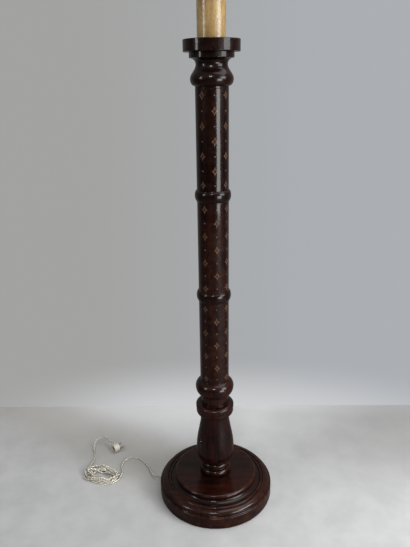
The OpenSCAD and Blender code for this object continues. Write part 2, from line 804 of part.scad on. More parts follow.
// Brown moulded insert, seen in the cover's opening
module plug_insert() {
    color([0.33, 0.20, 0.13]) at_plug() difference() {
        rotate([0, 90, 0]) translate([0, 0, 3.5 - plug_t / 2])
            cylinder(r = gland_start - 0.1, h = plug_t / 2 - 1.5);
        rotate([0, 90, 0]) translate([0, 0, -plug_t / 2]) cylinder(r = 1.6, h = plug_t);
    }
}

module plug_screw() {
    color(brass) at_plug() rotate([0, 90, 0]) translate([0, 0, 1.7 - plug_t / 2]) {
        difference() {
            cylinder(r = 3.6, h = 1.8);
            translate([-4, -0.5, -1]) cube([8, 1, 1.8]);
        }
        cylinder(r = 1.6, h = plug_t / 2 - 1);
    }
}

module plug_pins() {
    len = pin_root + pin_len;
    tip = 1.2;
    color(steel) at_plug() for (s = [-1, 1])
        translate([plug_t / 2 - pin_root, s * pin_gap / 2, 0]) rotate([0, 90, 0])
            rotate_extrude() polygon(concat([[0, 0], [pin_r, 0]],
                arc([pin_r - tip, len - tip], tip, tip, 0, 90, 4), [[0, len]]));
}

// Tapered strain relief in the side of the plug
module plug_gland() {
    color(clear_plastic) at_plug() rotate([-90, 0, 0]) rotate_extrude()
        polygon([[0, gland_start], [gland_r, gland_start], [gland_r, gland_end - 17],
                 [cord_r + 1, gland_end], [0, gland_end]]);
}

base_felt();
bottom_plate();
plate_screws();
base_plinth();
base_weight();
weight_screws();
base_disc();
foot();
knop();
column_lower();
ring_lower();
column_middle();
ring_upper();
column_upper();
capital();
drip_pan();
candle_seat();
candle_tube();
candle_cap();
threaded_tube();
bottom_washer();
bottom_nut();
top_washer();
top_nut();
holder_cap();
holder_sleeve();
porcelain_body();
screw_shell();
centre_contact();
terminal_screws();
switch_block();
switch_spindle();
switch_key();
shade_ring();
cord_bush();
cord_clamp();
clamp_screws();
inner_cord();
cord_run();
cord_coil();
cord_tail();
plug_body();
plug_cover();
plug_insert();
plug_screw();
plug_pins();
plug_gland();
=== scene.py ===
import json
import math

import bpy
import numpy as np
from mathutils import Matrix, Vector


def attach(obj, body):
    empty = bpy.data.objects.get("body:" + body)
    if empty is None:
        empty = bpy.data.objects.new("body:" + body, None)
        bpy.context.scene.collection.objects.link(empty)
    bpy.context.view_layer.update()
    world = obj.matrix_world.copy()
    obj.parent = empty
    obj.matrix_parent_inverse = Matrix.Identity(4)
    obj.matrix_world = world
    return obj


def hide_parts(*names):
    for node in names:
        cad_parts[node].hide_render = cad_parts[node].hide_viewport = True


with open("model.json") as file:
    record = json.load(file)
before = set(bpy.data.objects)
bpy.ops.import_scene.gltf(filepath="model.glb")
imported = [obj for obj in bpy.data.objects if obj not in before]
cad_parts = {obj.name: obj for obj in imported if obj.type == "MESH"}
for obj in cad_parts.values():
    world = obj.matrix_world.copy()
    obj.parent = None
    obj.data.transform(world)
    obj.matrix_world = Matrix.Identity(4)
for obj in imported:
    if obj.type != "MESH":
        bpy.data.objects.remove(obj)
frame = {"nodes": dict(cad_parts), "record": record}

# The objects of a new Blender file, where they are still there, are no part of this scene.
for name in ("Cube", "Light", "Camera"):
    if name in bpy.data.objects and name not in frame["nodes"]:
        bpy.data.objects.remove(bpy.data.objects[name])

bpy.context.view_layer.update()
nodes = frame["nodes"]
MM = 0.001


def rad(degrees):
    return math.radians(degrees)


def lengths(vectors):
    return np.linalg.norm(vectors, axis=1)


def unit(vectors):
    return vectors / lengths(vectors)[:, None]


# ------------------------------------------------------------------ camera

CAMERA_PLACE = (0, -1.40986, 1.24115)  # m
CAMERA_TURN = 0.972  # degrees, to the left of straight ahead
CAMERA_DIP = 19.815  # degrees below the horizon
CAMERA_ROLL = -0.8524  # degrees about its own axis
SENSOR_HEIGHT = 36  # mm
LENS = 35.617  # mm

camera_data = bpy.data.cameras.new("camera")
camera_data.sensor_fit = "VERTICAL"
camera_data.sensor_height = SENSOR_HEIGHT
camera_data.lens = LENS
camera_data.clip_start = 0.05
camera_data.clip_end = 60
camera = bpy.data.objects.new("camera", camera_data)
camera.matrix_world = (
    Matrix.Translation(CAMERA_PLACE)
    @ Matrix.Rotation(rad(CAMERA_TURN), 4, "Z")
    @ Matrix.Rotation(rad(90 - CAMERA_DIP), 4, "X")
    @ Matrix.Rotation(rad(CAMERA_ROLL), 4, "Z")
)
bpy.context.scene.collection.objects.link(camera)
bpy.context.scene.camera = camera


# ------------------------------------------------------------------ shader nodes


class Nodes:
    """Short ways to add shader nodes. A value is a constant or the output of another node."""

    def __init__(self, tree):
        self.tree = tree

    def put(self, socket, value):
        if isinstance(value, bpy.types.NodeSocket):
            self.tree.links.new(value, socket)
        elif value is not None:
            socket.default_value = value

    def node(self, kind, inputs=(), out=0, **settings):
        n = self.tree.nodes.new("ShaderNode" + kind)
        for key, value in settings.items():
            setattr(n, key, value)
        for key, value in dict(inputs).items():
            self.put(n.inputs[key], value)
        return n.outputs[out]

    def math(self, operation, *values):
        return self.node("Math", dict(enumerate(values)), operation=operation)

    def plus(self, a, b):
        return self.math("ADD", a, b)

    def minus(self, a, b):
        return self.math("SUBTRACT", a, b)

    def times(self, a, b):
        return self.math("MULTIPLY", a, b)

    def split(self, vector):
        """The x, y and z of a vector."""
        return tuple(self.node("SeparateXYZ", {0: vector}).node.outputs)

    def fit(self, value, low, high, to_low=0.0, to_high=1.0):
        """value from low..high mapped smoothly to to_low..to_high."""
        return self.node(
            "MapRange",
            {
                "Value": value,
                "From Min": low,
                "From Max": high,
                "To Min": to_low,
                "To Max": to_high,
            },
            interpolation_type="SMOOTHSTEP",
        )

    def mix(self, share, a, b, blend="MIX"):
        """Colour a, with its share of colour b."""
        n = self.tree.nodes.new("ShaderNodeMix")
        n.data_type = "RGBA"
        n.blend_type = blend
        for index, value in ((0, share), (6, a), (7, b)):
            if isinstance(value, tuple):
                value = (*value, 1.0)
            self.put(n.inputs[index], value)
        return n.outputs[2]


class Material(Nodes):
    """A material with its Principled shader."""

    def __init__(self, name, **sockets):
        self.mat = bpy.data.materials.new(name)
        self.mat.use_nodes = True
        super().__init__(self.mat.node_tree)
        self.shader = self.tree.nodes["Principled BSDF"]
        self.set(**sockets)

    def set(self, **sockets):
        for name, value in sockets.items():
            self.put(self.shader.inputs[name.replace("_", " ")], value)

    def place(self):
        return self.node("TexCoord", out="Object")

    def mark(self, name):
        """What a mesh says of itself in an attribute."""
        return self.node("Attribute", out="Fac", attribute_name=name)

    def stretched(self, vector, scale):
        return self.node("Mapping", {"Vector": vector, "Scale": scale})

    def noise(self, vector, scale, detail=4, roughness=0.55, distortion=0.0):
        return self.node(
            "TexNoise",
            {
                "Vector": vector,
                "Scale": scale,
                "Detail": detail,
                "Roughness": roughness,
                "Distortion": distortion,
            },
        )

    def bump(self, height, distance, strength=1.0, normal=None):
        return self.node(
            "Bump",
            {
                "Height": height,
                "Distance": distance,
                "Strength": strength,
                "Normal": normal,
            },
        )


# ------------------------------------------------------------------ star ornament

STAR_ROUND_R = 42.0  # mm, the radius at which the stars' widths are measured
STAR_ROWS = 8
STAR_PITCH = 36.5  # mm from a star to the next dot, up the column
STAR_HALF = (9.4, 13.2)  # mm from a star's middle to its points, across and up
STAR_HOLLOW = 0.62  # the power that draws a star's sides in
STAR_EDGE = (1.04, 0.96)  # from no ink to full ink, where 1 is the star's outline
HEART_EDGE = (0.80, 0.70)
DOT_R = 2.0
DOT_BLUR = 0.3
INK_WOBBLE = 1.2  # mm, from end to end


def stars(m):
    """Where the column's ornament lies: (rims, hearts, dots).

    The turned UV map counts rows round the column and pitches up it, and stars and dots take
    turns at its whole numbers.
    """
    x, y, _ = m.split(m.node("UVMap", uv_map="turned"))
    row, step = m.math("ROUND", x), m.math("ROUND", y)
    on_dot = m.math("ABSOLUTE", m.math("MODULO", m.plus(row, step), 2.0))
    on_star = m.minus(1.0, on_dot)
    wobble = m.times(m.minus(m.noise(m.place(), scale=260, detail=2), 0.5), INK_WOBBLE)
    arc = 2 * math.pi * STAR_ROUND_R / STAR_ROWS
    across = m.math("ABSOLUTE", m.plus(m.times(m.minus(x, row), arc), wobble))
    up = m.math("ABSOLUTE", m.plus(m.times(m.minus(y, step), STAR_PITCH), wobble))
    reach = m.plus(
        *(
            m.math("POWER", m.math("DIVIDE", offset, half), STAR_HOLLOW)
            for offset, half in zip((across, up), STAR_HALF)
        )
    )
    star = m.times(on_star, m.fit(reach, *STAR_EDGE))
    heart = m.times(on_star, m.fit(reach, *HEART_EDGE))
    far = m.math("SQRT", m.plus(m.math("POWER", across, 2.0), m.math("POWER", up, 2.0)))
    dot = m.times(on_dot, m.fit(far, DOT_R + DOT_BLUR, DOT_R - DOT_BLUR))
    return m.minus(star, heart), heart, dot


# ------------------------------------------------------------------ materials

STAIN_DEEP = (0.0032, 0.0007, 0.0006)
STAIN_RED = (0.019, 0.0031, 0.0016)
STAIN_CLOUD = (0.031, 0.0064, 0.0028)
STAIN_PORE = (0.0022, 0.0008, 0.0007)
BARE_WOOD = (0.060, 0.024, 0.012)
# The colour of the painted shade and grime in the wood's hollows
GRIME_AND_SHADE = (0.0012, 0.0008, 0.0006)
INK_RIM = (0.135, 0.078, 0.048)
INK_HEART = (0.050, 0.018, 0.012)
INK_DOT = (0.110, 0.082, 0.070)


def wood(name, grain, tone, starred=False):
    """Dark mahogany stain under old varnish, rubbed at its edges, with painted shade and grime in its
    corners.

    grain stretches the wood's figure along X, Y and Z, and tone is the share of the stain's
    lightness that is left, where a low tone paints shade on the piece.
    """
    m = Material(name, IOR=1.5, Specular_IOR_Level=0.1, Coat_IOR=1.45, Coat_Roughness=0.075)
    place = m.place()
    figure = m.stretched(place, grain)
    streaks = m.noise(figure, scale=16, detail=5, roughness=0.6, distortion=0.6)
    clouds = m.noise(place, scale=7, detail=3)
    pores = m.noise(m.stretched(figure, (3, 3, 1)), scale=90, detail=3, roughness=0.7)
    color = m.mix(m.fit(streaks, 0.38, 0.68), STAIN_DEEP, STAIN_RED)
    color = m.mix(m.fit(clouds, 0.35, 0.75, 0.0, 0.55), color, STAIN_CLOUD)
    color = m.mix(m.fit(pores, 0.56, 0.74, 0.0, 0.7), color, STAIN_PORE)
    # Bends that stand out are rubbed bare in patches
    patches = m.fit(m.noise(place, scale=55, detail=4, roughness=0.6), 0.42, 0.66)
    color = m.mix(m.times(m.mark("worn"), patches), color, BARE_WOOD)
    # A low tone paints shade: the upper pieces are shaded copies of the same wood
    color = m.mix(1.0, color, (tone, tone, tone), "MULTIPLY")
    # Painted shade and grime in the hollows, where the turned outlines close the view off: the colour
    # darkens there, and the coat's reflection weakens
    shade_share = m.mark("sheltered")
    color = m.mix(m.fit(shade_share, 0.12, 0.58, 1.0, 0.07), GRIME_AND_SHADE, color)
    shine = m.fit(shade_share, 0.40, 0.85, 0.42, 0.06)
    height = m.times(pores, -0.4)
    if starred:
        rim, heart, dot = stars(m)
        aged = m.fit(m.noise(place, scale=120, detail=3), 0.3, 0.7, 0.45, 1.0)
        color = m.mix(m.times(rim, aged), color, INK_RIM)
        color = m.mix(m.times(heart, 0.6), color, INK_HEART)
        color = m.mix(m.times(dot, aged), color, INK_DOT)
        height = m.plus(height, m.times(m.plus(rim, dot), 0.8))
    # The varnish: fine scuffs, marks of a brush, and slow unevenness
    scuffs = m.noise(m.stretched(place, (1, 1, 0.25)), scale=420, detail=2, roughness=0.8)
    brushed = m.noise(m.stretched(figure, (0.2, 0.2, 0.13)), scale=500, detail=2, roughness=0.6)
    uneven = m.noise(m.stretched(place, (1, 1, 0.5)), scale=22, detail=2, roughness=0.5)
    m.set(
        Base_Color=color,
        Roughness=m.fit(scuffs, 0.3, 0.8, 0.26, 0.48),
        Normal=m.bump(height, 0.00025, 0.6),
        Coat_Weight=shine,
        Coat_Normal=m.bump(brushed, 0.00016, 0.5, m.bump(uneven, 0.0012, 0.35)),
    )
    return m.mat


def candle_plastic():
    """Translucent plastic in a warm tone, cloudy up its length."""
    m = Material(
        "candle_shell",
        IOR=1.46,
        Specular_IOR_Level=0.5,
        Coat_Weight=0.4,
        Coat_Roughness=0.22,
        Subsurface_Weight=0.35,
        Subsurface_Scale=0.006,
        Subsurface_Radius=(1.0, 0.55, 0.25),
    )
    place = m.place()
    upright = m.stretched(place, (1, 1, 0.35))
    cloudy = m.noise(upright, scale=34, detail=4, roughness=0.6, distortion=0.8)
    m.set(
        Base_Color=m.mix(m.fit(cloudy, 0.3, 0.7), (0.235, 0.145, 0.052), (0.355, 0.245, 0.105)),
        Roughness=m.fit(m.noise(place, scale=150, detail=3), 0.3, 0.7, 0.22, 0.36),
        Normal=m.bump(m.noise(place, scale=45, detail=3), 0.0010, 0.4),
    )
    return m.mat


def metal(name, light, dark, rough=(0.16, 0.34), turned=True):
    """Metal with tarnish in clouds and fine lines, round the axis where it is turned."""
    m = Material(name, Metallic=1.0)
    place = m.place()
    cloud = m.fit(m.noise(place, scale=90, detail=5, roughness=0.65), 0.35, 0.72)
    lined = m.stretched(place, (6, 6, 900) if turned else (300, 30, 300))
    lines = m.noise(lined, scale=1.0, detail=2)
    m.set(
        Base_Color=m.mix(cloud, light, dark),
        Roughness=m.fit(m.plus(cloud, m.times(lines, 0.5)), 0.2, 1.3, *rough),
        Normal=m.bump(lines, 0.00006, 0.35),
    )
    return m.mat


def plastic(name, light, dark, rough=(0.28, 0.42)):
    """Moulded plastic with a faint cloud in its colour and a fine skin."""
    m = Material(name, IOR=1.48)
    place = m.place()
    m.set(
        Base_Color=m.mix(m.fit(m.noise(place, scale=70), 0.3, 0.7), light, dark),
        Roughness=m.fit(m.noise(place, scale=300, detail=3), 0.3, 0.7, *rough),
        Normal=m.bump(m.noise(place, scale=900, detail=2), 0.00005, 0.5),
    )
    return m.mat


def raw_wood(name, light, dark):
    """Bare wood or board, with its fibres along X."""
    m = Material(name, Specular_IOR_Level=0.3)
    fibre = m.noise(m.stretched(m.place(), (4, 40, 40)), scale=9, detail=5, roughness=0.6)
    m.set(
        Base_Color=m.mix(m.fit(fibre, 0.35, 0.65), light, dark),
        Roughness=m.fit(fibre, 0.2, 0.8, 0.6, 0.85),
        Normal=m.bump(fibre, 0.0004, 0.6),
    )
    return m.mat


def felt():
    m = Material("base_cloth", Roughness=0.95, Sheen_Weight=0.4, Sheen_Roughness=0.5)
    fuzz = m.noise(m.place(), scale=1500, detail=3, roughness=0.8)
    m.set(
        Base_Color=m.mix(m.fit(fuzz, 0.3, 0.7), (0.008, 0.016, 0.011), (0.03, 0.05, 0.035)),
        Normal=m.bump(fuzz, 0.0006, 0.9),
    )
    return m.mat


def clear_sheath():
    """The lead's clear plastic, a little yellowed."""
    m = Material("flex_sheath", IOR=1.42, Transmission_Weight=0.72, Specular_IOR_Level=0.6)
    place = m.place()
    yellowed = m.fit(m.noise(place, scale=60, detail=3), 0.35, 0.65)
    m.set(
        Base_Color=m.mix(yellowed, (0.93, 0.91, 0.84), (0.98, 0.97, 0.93)),
        Roughness=m.fit(m.noise(place, scale=240, detail=3), 0.3, 0.7, 0.04, 0.12),
        Normal=m.bump(m.noise(place, scale=500, detail=2), 0.00008, 0.5),
    )
    return m.mat


def stranded_wire(name, light, dark):
    m = Material(name, Metallic=0.35)
    strands = m.noise(m.place(), scale=2200, detail=2, roughness=0.5)
    m.set(
        Base_Color=m.mix(m.fit(strands, 0.35, 0.65), dark, light),
        Roughness=m.fit(strands, 0.3, 0.7, 0.22, 0.45),
        Normal=m.bump(strands, 0.0002, 0.8),
    )
    return m.mat


UPRIGHT = (5.0, 5.0, 0.45)
FLAT = (0.5, 5.0, 5.0)
# One wood in lit and shaded copies: the lower tones paint shade on the columns, and more on the top
# column, the thin rings, the capital and the pan
wood_base = wood("wood_base", FLAT, 0.95)
wood_low = wood("wood_low", UPRIGHT, 0.95)
wood_column = wood("wood_column", UPRIGHT, 0.7, starred=True)
wood_column_top = wood("wood_column_top", UPRIGHT, 0.4, starred=True)
wood_top = wood("wood_top", UPRIGHT, 0.42)
wood_pan = wood("wood_pan", FLAT, 0.42)

# What each material slot looks like, but for the turned wood
looks = {
    "felt": felt(),
    "cover_board": raw_wood("hardboard", (0.20, 0.12, 0.07), (0.11, 0.06, 0.035)),
    "cast_iron": metal(
        "iron", (0.10, 0.10, 0.11), (0.05, 0.05, 0.055), rough=(0.5, 0.8), turned=False
    ),
    "zinc_steel": metal("zinc", (0.62, 0.62, 0.60), (0.40, 0.40, 0.40), rough=(0.28, 0.5)),
    "seat_wood": raw_wood("pale_wood", (0.45, 0.30, 0.16), (0.30, 0.18, 0.09)),
    "candle_plastic": candle_plastic(),
    "brass": metal("brass", (0.78, 0.56, 0.24), (0.46, 0.29, 0.10)),
    "porcelain": plastic("glaze", (0.86, 0.84, 0.78), (0.80, 0.77, 0.70), rough=(0.08, 0.2)),
    "black_plastic": plastic("bakelite", (0.020, 0.020, 0.020), (0.035, 0.033, 0.030)),
    "brown_plastic": plastic("brown_moulding", (0.075, 0.036, 0.020), (0.045, 0.022, 0.013)),
    "clear_flex": clear_sheath(),
    "white_plastic": plastic("white_moulding", (0.60, 0.57, 0.50), (0.50, 0.47, 0.39)),
    "plated_pins": metal(
        "nickel", (0.24, 0.22, 0.19), (0.10, 0.09, 0.08), rough=(0.25, 0.45), turned=False
    ),
}
slot_of = {s["node"]: s["material_slot"] for s in frame["record"]["subparts"]}


# ------------------------------------------------------------------ turned pieces

# The CAD nodes that get a finer turned piece, and how each is made
TURNED = {
    "base_plinth": {"name": "plinth", "material": wood_base, "steps": 168},
    "base_disc": {"name": "upper_disc", "material": wood_base, "steps": 168, "corner_cut": 1.6},
    "foot": {"name": "turned_foot", "material": wood_low},
    "knop": {"name": "turned_knop", "material": wood_low},
    "column_lower": {"name": "column_1", "material": wood_column, "phase": 10},
    "ring_lower": {"name": "thin_ring_1", "material": wood_top},
    "column_middle": {"name": "column_2", "material": wood_column, "phase": 13},
    "ring_upper": {"name": "thin_ring_2", "material": wood_top},
    "column_upper": {"name": "column_3", "material": wood_column_top, "phase": 8},
    "capital": {"name": "turned_capital", "material": wood_top},
    "drip_pan": {"name": "pan", "material": wood_pan},
    "candle_tube": {
        "name": "candle",
        "material": looks["candle_plastic"],
        "corner_cut": 0.4,
        "slot": "candle_plastic",
    },
}
SAME_PLACE = 0.03  # mm
LEAST_RING = 60  # points; a small hole's edge has fewer


def outline_of(node):
    """The closed outline (radius, height) in mm that a turned CAD node was revolved from."""
    mesh = nodes[node].data
    co = np.array([v.co for v in mesh.vertices], float)
    rz = np.round(np.stack([np.hypot(co[:, 0], co[:, 1]), co[:, 2]], -1) / MM, 2)
    rings, ring_of = np.unique(rz, axis=0, return_inverse=True)
    same = (np.linalg.norm(rings[:, None] - rings[None], axis=2) < SAME_PLACE).argmax(1)
    ring_of = same[ring_of.ravel()]
    whole = np.bincount(ring_of, minlength=len(rings)) >= LEAST_RING
    beside = {}
    for edge in mesh.edges:
        a, b = (int(ring_of[v]) for v in edge.vertices)
        if a != b and whole[a] and whole[b]:
            beside.setdefault(a, set()).add(b)
            beside.setdefault(b, set()).add(a)
    start = max(beside, key=lambda i: (rings[i][0], -rings[i][1]))
    loop, last = [start], None
    while True:
        ways = [i for i in beside[loop[-1]] if i != last and (i not in loop or i == start)]
        if not ways:
            raise RuntimeError(f"{node} has no closed outline")
        last = loop[-1]
        following = max(ways, key=lambda i: rings[i][1]) if len(loop) == 1 else ways[0]
        if following == start:
            return rings[loop]
        loop.append(following)


outlines = {node: outline_of(node) for node in TURNED}
walls = np.concatenate([np.stack([o, np.roll(o, -1, 0)], 1) for o in outlines.values()])

CORNER_ROUNDS = 3
STRAIGHT = 1.5  # degrees; a corner that turns less is left as it is
SHARP = 38  # degrees; a corner that turns more loses corner_cut mm at most on each side


def eased(points, corner_cut):
    """The outline with its arcs refined and each sharp corner broken by a small round."""
    for step in range(CORNER_ROUNDS):
        out = []
        for i, p in enumerate(points):
            back, ahead = points[i - 1] - p, points[(i + 1) % len(points)] - p
            la, lb = np.linalg.norm(back), np.linalg.norm(ahead)
            turn = math.degrees(math.acos(np.clip(-(back @ ahead) / (la * lb), -1, 1)))
            if turn < STRAIGHT:
                out.append(p)
                continue
            cut = 0.25 * min(la, lb)
            if step == 0 and turn > SHARP:
                cut = min(cut, corner_cut)
            out += [p + back / la * cut, p + ahead / lb * cut]
        points = np.array(out)
    return points


def winding(points):
    """1 where the outline runs counterclockwise, -1 where it runs clockwise."""
    r, z = points.T
    return np.sign(r @ np.roll(z, -1) - z @ np.roll(r, -1))


def neighbours(points):
    """The steps that lead to each point of the outline, and on from it."""
    return points - np.roll(points, 1, 0), np.roll(points, -1, 0) - points


WORN_R = 2.2  # mm; what bends outward as tightly as this is worn through


def worn(points):
    """How worn each outline point is, 0 to 1: the tighter it bends outward, the more."""
    back, ahead = neighbours(points)
    cross = back[:, 0] * ahead[:, 1] - back[:, 1] * ahead[:, 0]
    turn = np.arctan2(cross, (back * ahead).sum(1)) * winding(points)
    bend = np.clip(turn / (0.5 * (lengths(back) + lengths(ahead))) * WORN_R, 0, 1)
    return 0.5 * bend + 0.25 * (np.roll(bend, 1) + np.roll(bend, -1))


SHELTER_REACH = 30  # mm; what is farther off closes nothing off
SHELTER_TILTS = range(-75, 76, 15)  # degrees from straight out
SKIN = 0.3  # mm, from the point to where its view out starts
PARALLEL = 1e-9  # stands for zero where a wall runs along the view


def sheltered(points):
    """How much of the view out from each outline point the turned outlines close off, 0 to 1."""
    back, ahead = neighbours(points)
    tangent = unit(ahead) + unit(back)
    away = unit(np.stack([tangent[:, 1], -tangent[:, 0]], 1) * winding(points))
    start, run = walls[:, 0], walls[:, 1] - walls[:, 0]
    gap = start[None] - (points + SKIN * away)[:, None]
    closed, whole = 0, 0
    for tilt in SHELTER_TILTS:
        c, s = math.cos(rad(tilt)), math.sin(rad(tilt))
        way = (away @ np.array([[c, s], [-s, c]]))[:, None]
        cross = way[..., 0] * run[:, 1] - way[..., 1] * run[:, 0]
        cross[np.abs(cross) < PARALLEL] = PARALLEL
        t = (gap[..., 0] * run[:, 1] - gap[..., 1] * run[:, 0]) / cross
        u = (gap[..., 0] * way[..., 1] - gap[..., 1] * way[..., 0]) / cross
        closed = closed + c * ((t > 0) & (t < SHELTER_REACH) & (u >= 0) & (u <= 1)).any(1)
        whole += c
    return closed / whole


TENON_R = 20  # mm; the top of a column piece that is narrower is hidden in the next one


def revolved(name, points, steps, phase):
    """The mesh of an outline (radius, height) in mm turned about Z, with the stars' UV map.

    phase is how far round from the front, in degrees, a row of stars stands.
    """
    angle = 2 * np.pi * np.arange(steps + 1) / steps
    r, z = points[:, 0] * MM, points[:, 1] * MM
    verts = np.stack(
        [
            np.outer(r, np.sin(angle[:-1])),
            -np.outer(r, np.cos(angle[:-1])),
            np.repeat(z[:, None], steps, 1),
        ],
        -1,
    )
    heights = points[:, 1]
    middle = 0.5 * (heights.min() + heights[points[:, 0] > TENON_R].max())
    star_up = (heights - middle) / STAR_PITCH
    star_round = (np.degrees(angle) - phase) * STAR_ROWS / 360
    low, left = np.indices((len(points), steps))
    high, right = (low + 1) % len(points), left + 1
    corners = [(low, left), (low, right), (high, right), (high, left)]
    if winding(points) < 0:
        corners.reverse()
    loops = np.stack([row * steps + column % steps for row, column in corners], -1)
    uvs = np.stack(
        [np.stack([star_round[column], star_up[row]], -1) for row, column in corners], -2
    )

    mesh = bpy.data.meshes.new(name)
    mesh.vertices.add(len(points) * steps)
    mesh.vertices.foreach_set("co", verts.astype(np.float32).ravel())
    mesh.loops.add(loops.size)
    mesh.loops.foreach_set("vertex_index", loops.astype(np.int32).ravel())
    mesh.polygons.add(loops.size // 4)
    mesh.polygons.foreach_set("loop_start", np.arange(0, loops.size, 4, dtype=np.int32))
    mesh.update(calc_edges=True)
    mesh.validate()
    mesh.uv_layers.new(name="turned").data.foreach_set("uv", uvs.astype(np.float32).ravel())
    mesh.shade_smooth()
    return mesh


FLAT_WEIGHT = 60  # above 50, wide flats count for more in the shading than small rounds


def lathe(node, name, material, steps=160, corner_cut=0.45, phase=0, slot="varnished_wood"):
    """A finely turned piece that stands for a CAD node, with its wear and the painted shade and grime
    of its hollows.
    """
    points = eased(outlines[node], corner_cut)
    mesh = revolved(name, points, steps, phase)
    # sheltered marks where the wood paints shade and grime in its hollows
    for mark, values in (("worn", worn(points)), ("sheltered", sheltered(points))):
        attribute = mesh.attributes.new(mark, "FLOAT", "POINT")
        attribute.data.foreach_set("value", np.repeat(values, steps).astype(np.float32))
    mesh.materials.append(material)
    piece = bpy.data.objects.new(name, mesh)
    bpy.context.scene.collection.objects.link(piece)
    flatten = piece.modifiers.new("flats", "WEIGHTED_NORMAL")
    flatten.weight = FLAT_WEIGHT
    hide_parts(node)
    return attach(piece, "lamp")


for node, how in TURNED.items():
    lathe(node, **how)

for name, obj in nodes.items():
    if not obj.hide_render and slot_of[name] in looks:
        for s in obj.material_slots:
            s.material = looks[slot_of[name]]


# ------------------------------------------------------------------ the lead's route

# Sizes in mm and angles in degrees, as in the CAD
CORD_R = 2.5
CORD_H = 12  # the bush's middle over the floor
EXIT_AZ = 169
EXIT_R = 184.8  # the bush's outer end
LEAD_START = 172  # inside the bush
COIL_POS = (-378, 52)  # its middle
COIL_AZ = -20  # of its long axis
COIL_A = 61.5  # half its length, to the cord's middle
COIL_TURNS = 8.5
COIL_LAYER = 5.55  # from the cord's height on the floor to its height where the tail starts
PLUG_POS = (-352, 181, 14)
PLUG_AZ = 42  # of its own axis
PLUG_ROLL = 12  # how far its strain relief is tipped up
GLAND_END = 33.5  # from its axis to the end of the strain relief


def vec(*xyz):
    return np.array(xyz, float)


def turn_of(degrees):
    return vec(math.cos(rad(degrees)), math.sin(rad(degrees)), 0)


exit_dir = turn_of(EXIT_AZ)
coil_e1, coil_e2 = turn_of(COIL_AZ), turn_of(COIL_AZ + 90)
coil_in = vec(*COIL_POS, CORD_R) + COIL_A * coil_e1
coil_out = vec(*COIL_POS, CORD_R + COIL_LAYER) - COIL_A * coil_e1
plug_side = turn_of(PLUG_AZ + 90) * math.cos(rad(PLUG_ROLL)) + vec(0, 0, math.sin(rad(PLUG_ROLL)))
run_route = (
    [r * exit_dir + vec(0, 0, CORD_H) for r in (LEAD_START, EXIT_R - 4, EXIT_R + 4)]
    + [
        vec(*p)
        for p in (
            (-195, 39, 11.5), (-203, 45, 10), (-211, 57, 8), (-218, 74, 5.5), (-228, 95, 3.5),
            (-243, 116, 2.5), (-261, 134, 2.5), (-283, 143, 2.5), (-303, 138, 2.5),
            (-315, 122, 2.5), (-319, 103, 2.5), (-316, 84, 2.5), (-312, 67, 2.5),
        )
    ]
    + [coil_in + r * coil_e2 for r in (20, 2 * CORD_R)]
)
tail_route = (
    [coil_out + r * coil_e2 for r in (2 * CORD_R, 18)]
    + [
        vec(*p)
        for p in (
            (-424, 106, 5.5), (-421, 122, 3.5), (-420, 139, 2.5), (-422, 156, 2.5),
            (-426, 172, 2.5), (-430.5, 185.5, 3), (-433, 198.5, 6), (-433, 210.5, 10.5),
            (-429, 220.5, 15.5), (-419, 228.5, 20.5), (-408, 230.5, 24), (-397.5, 227.5, 25.5),
        )
    ]
    + [vec(*PLUG_POS) + (GLAND_END + r) * plug_side for r in (22, 11, 0)]
)


ROUTE_STEPS = 5  # between two points of a route


def smooth(points):
    """One smooth curve through the points of a route."""
    out = []
    for i in range(len(points) - 1):
        b, c = points[i], points[i + 1]
        a = points[i - 1] if i else 2 * b - c
        d = points[i + 2] if i + 2 < len(points) else 2 * c - b
        for j in range(ROUTE_STEPS):
            t = j / ROUTE_STEPS
            out.append(
                0.5 * (2 * b + (c - a) * t + (2 * a - 5 * b + 4 * c - d) * t**2
                       + (3 * b - a - 3 * c + d) * t**3)
            )
    return np.array(out + [points[-1]])


# ------------------------------------------------------------------ the loose hank

# The hank's straight-sided oval, in mm from its middle to the cord's, at first, where it has
# turned inward, and where its later turns lie astray
LONG_FIRST, SHORT_FIRST = 59.8, 37.3
LONG_ASTRAY, SHORT_ASTRAY = 58.0, 23.5
SHORT_JOIN = 36.0  # where the run comes in and the tail goes out
INWARD_TURNS = 4.0
INWARD_PITCH = 4.8  # how much each of them takes off the oval's half width
LONG_PER_SHORT = 1.71  # how much faster its length shrinks than its width
JOIN_TURNS = 0.75  # at each end, over which the hank comes loose

# A turn goes round half of the near end, along one side, round the far end, along the other
# side and round the rest of the near end
OVAL_PARTS = (0, 1 / 6, 1 / 3, 2 / 3, 5 / 6, 1)  # of the turn
OVAL_TURN = (0, 90, 90, 270, 270, 360)  # degrees round the middle of the end
OVAL_CORE = (1, 1, -1, -1, 1, 1)  # the middle of the end: 1 at the near end, -1 at the far end

# Slow sways of the turns: (size, pace, start), with the size in mm, or in degrees for a lean
LONG_SWAY, SHORT_SWAY = (0.9, 3.0, 5.0), (0.2, 2.8, 3.8)
LONG_LATE_SWAY, SHORT_LATE_SWAY = (1.1, 1.6, 2.6), (1.2, 1.6, 0.6)
LEAN_SWAY, LEAN_LATE_SWAY = (1.7, 2.4, 2.6), (13.0, 3.5, 4.4)
X_SWAY, X_LATE_SWAY = (1.4, 3.7, 4.2), (1.8, 2.9, 4.3)
Y_SWAY, Y_LATE_SWAY = (0.8, 1.4, 2.0), (9.3, 2.4, 1.4)


def gently(t):
    """From 0 to 1 as t goes from 0 to 1, with a soft start and end."""
    t = min(1, max(0, t))
    return t * t * (3 - 2 * t)


